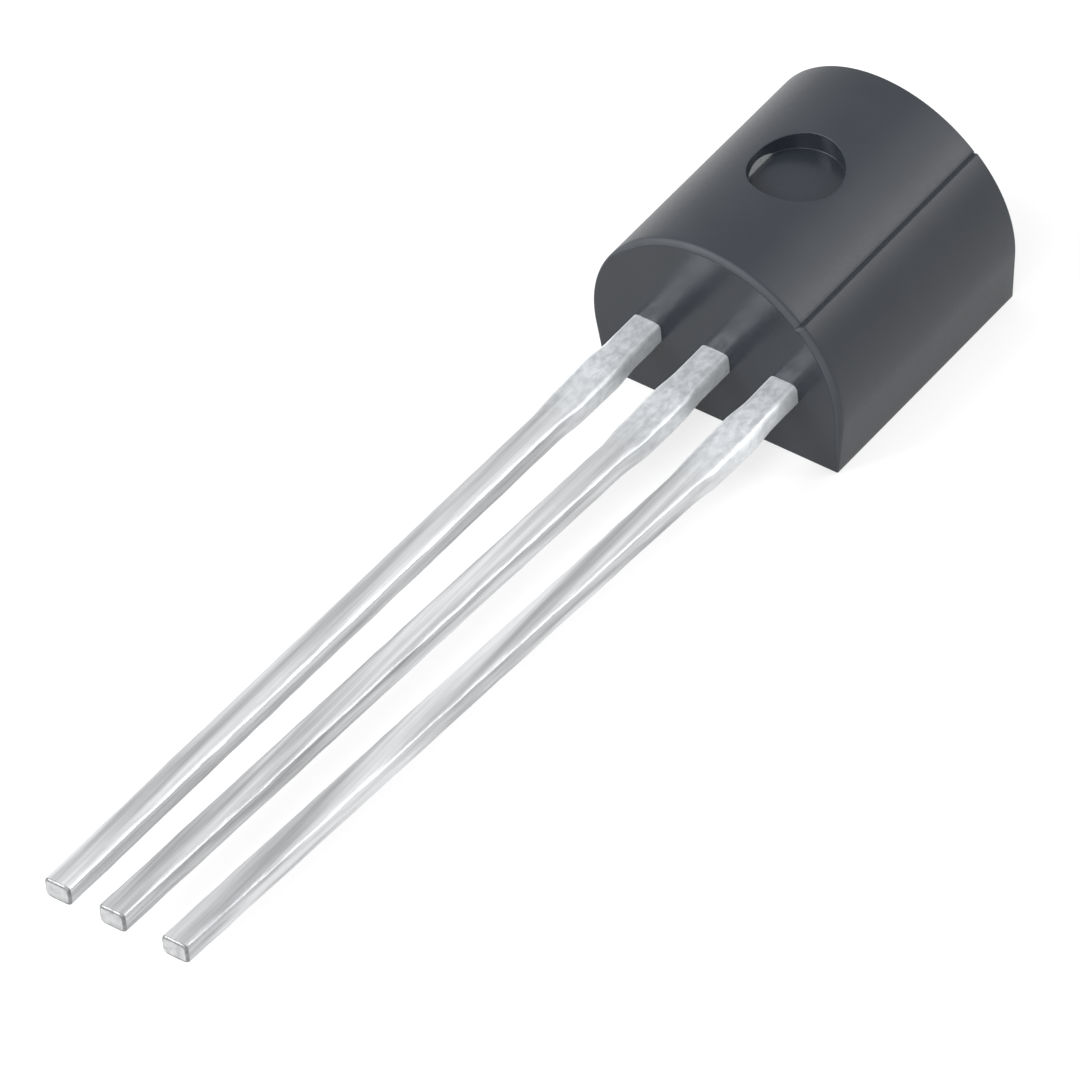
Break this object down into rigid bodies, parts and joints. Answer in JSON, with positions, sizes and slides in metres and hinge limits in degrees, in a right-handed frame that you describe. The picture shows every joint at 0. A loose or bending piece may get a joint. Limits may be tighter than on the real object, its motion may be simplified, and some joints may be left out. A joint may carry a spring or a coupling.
{
  "type": "through-hole transistor",
  "caption": "Small-signal transistor in a D-shaped moulded package, with a flat face, a round back with an ejector recess, and a row of slim tin-plated leads.",
  "frame": {"origin": "centre of the flat face, which is the surface that the part lies on", "axes": "+Z from the flat face to the round back, +Y along the body away from the leads, +X from the collector lead to the emitter lead"},
  "size_m": [0.0046, 0.0188, 0.0035],
  "materials": {
    "moulding": "satin moulded epoxy",
    "lead": "bright tin plate",
    "silicon": "polished",
    "die_bond": "matte",
    "bond_wire": "bright gold"
  },
  "bodies": {
    "root": {"body": "moulding", "collector_lead": "lead", "base_lead": "lead", "emitter_lead": "lead", "die": "silicon", "die_attach": "die_bond", "base_wire": "bond_wire", "emitter_wire": "bond_wire"}
  },
  "joints": []
}
